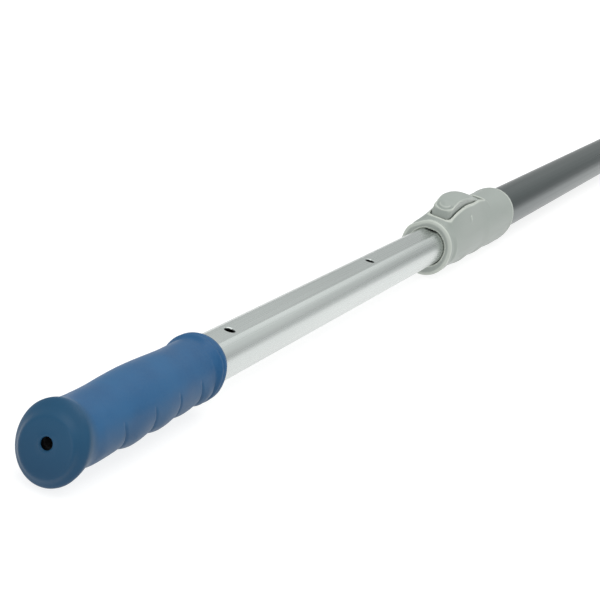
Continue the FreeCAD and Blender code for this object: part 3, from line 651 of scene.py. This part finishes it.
def make_inner_tube():
    """The D-shaped tube as a loop of sections out along its outside and back inside, with its lock holes."""
    start, end = float(tube_low[0]) + TUBE_INSET, float(tube_high[0])
    places = np.arange(start + 20.0, end - 10.0, SECTION_STEP)
    for hole in LOCK_HOLES:
        places = places[np.abs(places - hole) > 6.0]
    places = np.sort(np.concatenate([places] + [hole + HOLE_STEPS for hole in LOCK_HOLES]))
    inner = TUBE_R - TUBE_WALL, FLAT_Z - TUBE_WALL
    outer = TUBE_R, FLAT_Z
    middle = TUBE_R - TUBE_CHAMFER, FLAT_Z - TUBE_CHAMFER
    loops = [(start, middle), (start + TUBE_CHAMFER, outer)] + [(x, outer) for x in places]
    loops += [(end - TUBE_CHAMFER, outer), (end, middle), (end, inner)]
    loops += [(x, inner) for x in places[::-1]] + [(start, inner)]
    points = []
    for x, shape in loops:
        y, z = tube_section(*shape)
        points.append(np.stack([np.full(len(y), x), y, z], axis=1))
    columns = len(points[0])
    points = list(np.concatenate(points))
    faces = []
    skip = set()
    for hole in LOCK_HOLES:
        for level in (outer, inner):
            rows = [i for i, (x, shape) in enumerate(loops) if shape == level and abs(x - hole) < 4.6]
            rows.sort(key=lambda i: loops[i][0])
            patch = range(PATCH_FIRST, PATCH_LAST)
            skip.update((min(a, b), c) for a, b in zip(rows, rows[1:]) for c in patch)
            rim = patch_rim(rows, columns)
            if level == inner:
                faces += wall(ring, rim)
                continue
            ring = rim
            turn = [math.atan2(points[i][1], points[i][0] - hole) for i in rim]
            for radius, depth in HOLE_LEVELS:
                fresh = list(range(len(points), len(points) + len(turn)))
                for angle in turn:
                    place = hole + radius * math.cos(angle), radius * math.sin(angle), FLAT_Z - depth
                    points.append(np.array(place))
                faces += wall(ring, fresh)
                ring = fresh
    count = len(loops)
    for row in range(count):
        for column in range(columns):
            if (row, column) in skip:
                continue
            ahead = (row + 1) % count
            beside = (column + 1) % columns
            faces.append((row * columns + column, row * columns + beside,
                          ahead * columns + beside, ahead * columns + column))
    return build("inner_tube_wall", np.array(points), faces)


# ---------------------------------------------------------------- materials


class Nodes:
    """A small helper that adds and joins shader nodes."""

    def __init__(self, name):
        self.material = bpy.data.materials.new(name)
        self.material.use_nodes = True
        self.tree = self.material.node_tree
        self.shader = self.tree.nodes["Principled BSDF"]

    def add(self, kind, **settings):
        node = self.tree.nodes.new(kind)
        for key, value in settings.items():
            if key in node.inputs:
                node.inputs[key].default_value = value
            else:
                setattr(node, key, value)
        return node

    def join(self, source, target):
        self.tree.links.new(source, target)

    def place(self, scale):
        coordinates = self.add("ShaderNodeTexCoord")
        mapping = self.add("ShaderNodeMapping")
        mapping.inputs["Scale"].default_value = scale
        self.join(coordinates.outputs["Object"], mapping.inputs["Vector"])
        return mapping.outputs["Vector"]

    def noise(self, scale, size, detail=3.0, rough=0.55, distortion=0.0):
        node = self.add("ShaderNodeTexNoise", Scale=size, Detail=detail, Roughness=rough,
                        Distortion=distortion)
        self.join(self.place(scale), node.inputs["Vector"])
        return node.outputs["Fac"]

    def ramp(self, source, low, high, first, last):
        node = self.add("ShaderNodeMapRange")
        node.inputs["From Min"].default_value = low
        node.inputs["From Max"].default_value = high
        node.inputs["To Min"].default_value = first
        node.inputs["To Max"].default_value = last
        self.join(source, node.inputs["Value"])
        return node.outputs["Result"]

    def mix(self, factor, first, last):
        node = self.add("ShaderNodeMix", data_type="RGBA")
        self.join(factor, node.inputs["Factor"])
        for socket, value in ((node.inputs[6], first), (node.inputs[7], last)):
            if hasattr(value, "is_output"):
                self.join(value, socket)
            else:
                socket.default_value = value
        return node.outputs[2]

    def bump(self, *layers):
        last = None
        for source, distance, strength in layers:
            node = self.add("ShaderNodeBump", Distance=distance, Strength=strength)
            self.join(source, node.inputs["Height"])
            if last is not None:
                self.join(last, node.inputs["Normal"])
            last = node.outputs["Normal"]
        self.join(last, self.shader.inputs["Normal"])

    def set(self, **values):
        for key, value in values.items():
            self.shader.inputs[key.replace("_", " ")].default_value = value


def vinyl():
    """Soft blue vinyl, mottled, with painted shade round the pommel and underneath."""
    m = Nodes("vinyl_blue")
    patches = m.noise((1, 1, 1), 42.0, 2.0)
    cloud = m.ramp(patches, 0.35, 0.68, 0.0, 1.0)
    colour = m.mix(cloud, (0.010, 0.076, 0.192, 1), (0.019, 0.101, 0.232, 1))
    speck = m.ramp(m.noise((1, 1, 1), 900.0, 2.0), 0.35, 0.75, 0.0, 0.35)
    colour = m.mix(speck, colour, (0.03, 0.11, 0.225, 1))
    along = m.add("ShaderNodeSeparateXYZ")
    m.join(m.place((1, 1, 1)), along.inputs["Vector"])
    # painted shade: darker towards the pommel's end, for the shade on its face and rim
    pommel_painted_shade = m.ramp(along.outputs["X"], 0.007, 0.014, 0.8, 0.0)
    colour = m.mix(pommel_painted_shade, colour, (0.008, 0.055, 0.11, 1))
    # painted shade: darker towards the underside, for the shade under the grip
    painted_underside_shade = m.ramp(along.outputs["Z"], -0.011, 0.008, 0.85, 0.0)
    colour = m.mix(painted_underside_shade, colour, (0.005, 0.044, 0.10, 1))
    m.join(colour, m.shader.inputs["Base Color"])
    m.join(m.ramp(patches, 0.3, 0.7, 0.40, 0.52), m.shader.inputs["Roughness"])
    m.bump((m.noise((1, 1, 1), 160.0, 2.0), 0.0002, 0.25), (m.noise((1, 1, 1), 2200.0, 2.0), 0.00004, 0.35))
    m.set(Specular_IOR_Level=0.25)
    return m.material


def aluminium(name, dark, light, rough, streak):
    """Drawn metal with fine marks along X, whose roughness varies by streak."""
    m = Nodes(name)
    fine = m.noise((1.2, 420, 420), 1.6, 3.0)
    broad = m.noise((3.0, 60, 60), 1.5, 2.0)
    colour = m.mix(m.ramp(broad, 0.3, 0.7, 0.0, 1.0), dark, light)
    m.join(colour, m.shader.inputs["Base Color"])
    m.join(m.ramp(fine, 0.25, 0.75, rough - streak, rough + streak), m.shader.inputs["Roughness"])
    m.bump((fine, 0.00003, 0.18), (broad, 0.0004, 0.06))
    m.set(Metallic=1.0)
    return m.material


def plastic(name, dark, light, rough, grain=0.3, painted_edge_highlight=None):
    """Moulded plastic, with an optional painted highlight: a paler colour on its convex edges."""
    m = Nodes(name)
    cloud = m.ramp(m.noise((1, 1, 1), 38.0, 3.0), 0.32, 0.7, 0.0, 1.0)
    colour = m.mix(cloud, dark, light)
    # painted highlight: the paler colour is mixed onto convex edges by how sharply they bend
    if painted_edge_highlight:
        edge = m.add("ShaderNodeAttribute", attribute_name="edge").outputs["Fac"]
        colour = m.mix(m.ramp(edge, 0.12, 0.55, 0.0, 0.9), colour, painted_edge_highlight)
    m.join(colour, m.shader.inputs["Base Color"])
    m.join(m.ramp(cloud, 0.0, 1.0, rough - 0.05, rough + 0.06), m.shader.inputs["Roughness"])
    m.bump((m.noise((1, 1, 1), 1900.0, 2.0), 0.00004, grain))
    m.set(Specular_IOR_Level=0.4)
    return m.material


def foam():
    """White foam with closed cells."""
    m = Nodes("foam_white")
    cells = m.add("ShaderNodeTexVoronoi", Scale=700.0)
    m.join(m.place((1, 1, 1)), cells.inputs["Vector"])
    shade = m.ramp(cells.outputs["Distance"], 0.0, 0.7, 0.0, 1.0)
    m.join(m.mix(shade, (0.50, 0.49, 0.45, 1), (0.74, 0.73, 0.69, 1)), m.shader.inputs["Base Color"])
    m.bump((shade, 0.0002, 0.5))
    m.set(Roughness=0.85)
    return m.material


VINYL = vinyl()
BRIGHT = aluminium("aluminium_bright", (0.525, 0.553, 0.54, 1), (0.58, 0.608, 0.595, 1), 0.28, 0.04)
SATIN = aluminium("aluminium_satin", (0.048, 0.066, 0.067, 1), (0.059, 0.077, 0.078, 1), 0.30, 0.03)
# the grey's paler colour is a painted highlight on the collar's and lever's convex edges
GREY = plastic("plastic_grey", (0.292, 0.321, 0.298, 1), (0.321, 0.350, 0.326, 1), 0.42,
               painted_edge_highlight=(0.54, 0.57, 0.52, 1))
HEAD = plastic("plastic_head", (0.31, 0.34, 0.315, 1), (0.34, 0.37, 0.345, 1), 0.46, 0.4)
NYLON = plastic("nylon_white", (0.55, 0.55, 0.51, 1), (0.65, 0.65, 0.61, 1), 0.45)
STEEL = aluminium("steel", (0.52, 0.52, 0.53, 1), (0.62, 0.62, 0.63, 1), 0.24, 0.06)
RUBBER = plastic("rubber_black", (0.012, 0.012, 0.013, 1), (0.02, 0.02, 0.021, 1), 0.6, 0.5)
FOAM = foam()


def dress(thing, material):
    thing.data.materials.clear()
    thing.data.materials.append(material)


# ---------------------------------------------------------------- the pieces

# the CAD nodes that stay visible take their slot's material
SLOT_MATERIALS = {
    "blue_vinyl": VINYL,
    "bright_aluminium": BRIGHT,
    "satin_aluminium": SATIN,
    "grey_plastic": GREY,
    "head_plastic": HEAD,
    "nylon": NYLON,
    "steel": STEEL,
    "foam": FOAM,
    "seal_rubber": RUBBER,
}
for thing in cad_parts.values():
    for place, given in enumerate(thing.data.materials):
        thing.data.materials[place] = SLOT_MATERIALS[given.name.split(".")[0]]


def stand(piece, material, body, slot, *nodes):
    """Dresses a piece in that material, puts it on its body and hides those CAD nodes in its place; slot is
    not used.
    """
    dress(piece, material)
    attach(piece, body)
    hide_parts(*nodes)
    return piece


# painted shade: the plug in the pommel's hole takes black rubber in place of its slot's material, so the
# hole reads dark
dress(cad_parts["butt_plug"], RUBBER)
stand(make_grip(), VINYL, "inner_pole", "blue_vinyl", "grip")
stand(make_inner_tube(), BRIGHT, "inner_pole", "bright_aluminium", "inner_tube")
stand(carve("collar_shell", collar_field, collar_low - 3.0, collar_high + 3.0, 0.72),
      GREY, "outer_pole", "grey_plastic", "lock_collar")
stand(carve("lever_shell", lever_field, lever_low - 1.5, lever_high + 1.5, 0.45, 0.35),
      GREY, "lever", "grey_plastic", "lock_lever")
spring = stand(make_spring(), STEEL, "outer_pole", "steel", "lever_spring")
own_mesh(spring)
stand(carve("head_shell", head_field, head_low - 3.0, head_high + 3.0, 1.3),
      HEAD, "outer_pole", "head_plastic", "hook_head")


# ---------------------------------------------------------------- floor, light and camera

# how far the floor lies below the CAD model, and half its size
FLOOR_GAP = 0.0012
FLOOR_HALF = 30.0
# the studio's colour at each height, from the horizon (0) to straight up (1)
SKY = [
    (0.0, (0.78, 0.79, 0.79)),
    (0.12, (0.36, 0.38, 0.38)),
    (0.27, (0.52, 0.5356, 0.5304)),
    (0.42, (0.90, 0.927, 0.918)),
    (0.75, (0.80, 0.824, 0.816)),
]
# the studio is dimmer towards -X: two directions along X and the strength at each
SIDE_RANGE = -0.9, 0.4
SIDE_STRENGTH = 0.78, 1.0
# name, place, target, width, height, power
LAMPS = [
    ("overhead", (0.3, -0.2, 1.9), (0.3, 0.0, 0.0), 2.6, 1.6, 22.0),
    ("card_low", (1.0, -0.47, 0.25), (0.2, -0.47, 0.25), 0.40, 0.5, 0.13),
    ("card_high", (1.0, -0.09, 0.43), (0.2, -0.09, 0.43), 0.22, 0.3, 0.07),
    ("front", (-1.6, -0.25, 0.45), (0.4, 0.0, 0.0), 0.8, 0.8, 6.0),
]
CAMERA_PLACE = Vector((-0.4385, -0.2411, 0.2586))
CAMERA_FORWARD = Vector((0.889, 0.3175, -0.3295))
CAMERA_UP = Vector((0.205, 0.367, 0.907))
CAMERA_LENS = 84.0
CAMERA_SENSOR = 36.0
CAMERA_CLIP_END = 200.0


def make_floor():
    lowest = float(cad_bounds[0][2]) - FLOOR_GAP
    mesh = bpy.data.meshes.new("floor")
    square = ((-1, -1), (1, -1), (1, 1), (-1, 1))
    corners = [(x * FLOOR_HALF, y * FLOOR_HALF, lowest) for x, y in square]
    mesh.from_pydata(corners, [], [(0, 1, 2, 3)])
    floor = bpy.data.objects.new("floor", mesh)
    bpy.context.scene.collection.objects.link(floor)
    m = Nodes("floor_white")
    m.set(Base_Color=(0.30, 0.30, 0.30, 1), Roughness=0.9)
    m.set(Emission_Color=(1, 1, 1, 1), Emission_Strength=0.80)
    floor.data.materials.append(m.material)


def make_world():
    world = bpy.data.worlds.new("studio")
    bpy.context.scene.world = world
    world.use_nodes = True
    tree = world.node_tree
    background = tree.nodes["Background"]
    coordinates = tree.nodes.new("ShaderNodeTexCoord")
    parts = tree.nodes.new("ShaderNodeSeparateXYZ")
    ramp = tree.nodes.new("ShaderNodeValToRGB")
    tree.links.new(coordinates.outputs["Generated"], parts.inputs["Vector"])
    tree.links.new(parts.outputs["Z"], ramp.inputs["Fac"])
    tree.links.new(ramp.outputs["Color"], background.inputs["Color"])
    stops = ramp.color_ramp.elements
    for number, (height, color) in enumerate(SKY):
        stop = stops[number] if number < 2 else stops.new(height)
        stop.position = height
        stop.color = (*color, 1)
    sides = tree.nodes.new("ShaderNodeMapRange")
    for name, pair in (("From", SIDE_RANGE), ("To", SIDE_STRENGTH)):
        sides.inputs[name + " Min"].default_value = pair[0]
        sides.inputs[name + " Max"].default_value = pair[1]
    tree.links.new(parts.outputs["X"], sides.inputs["Value"])
    tree.links.new(sides.outputs["Result"], background.inputs["Strength"])


def area_light(name, place, target, width, height, power):
    data = bpy.data.lights.new(name, "AREA")
    data.shape = "RECTANGLE"
    data.size = width
    data.size_y = height
    data.energy = power
    lamp = bpy.data.objects.new(name, data)
    lamp.location = place
    lamp.rotation_euler = (Vector(target) - Vector(place)).to_track_quat("-Z", "Y").to_euler()
    lamp.visible_camera = False
    bpy.context.scene.collection.objects.link(lamp)


def make_camera():
    forward = CAMERA_FORWARD.normalized()
    right = forward.cross(CAMERA_UP).normalized()
    up = right.cross(forward).normalized()
    data = bpy.data.cameras.new("camera")
    data.sensor_width = CAMERA_SENSOR
    data.lens = CAMERA_LENS
    data.clip_end = CAMERA_CLIP_END
    camera = bpy.data.objects.new("camera", data)
    turn = Matrix((right, up, -forward)).transposed().to_4x4()
    camera.matrix_world = Matrix.Translation(CAMERA_PLACE) @ turn
    bpy.context.scene.collection.objects.link(camera)
    bpy.context.scene.camera = camera


make_floor()
make_world()
for lamp_values in LAMPS:
    area_light(*lamp_values)
make_camera()
bpy.context.scene.view_settings.view_transform = "Standard"
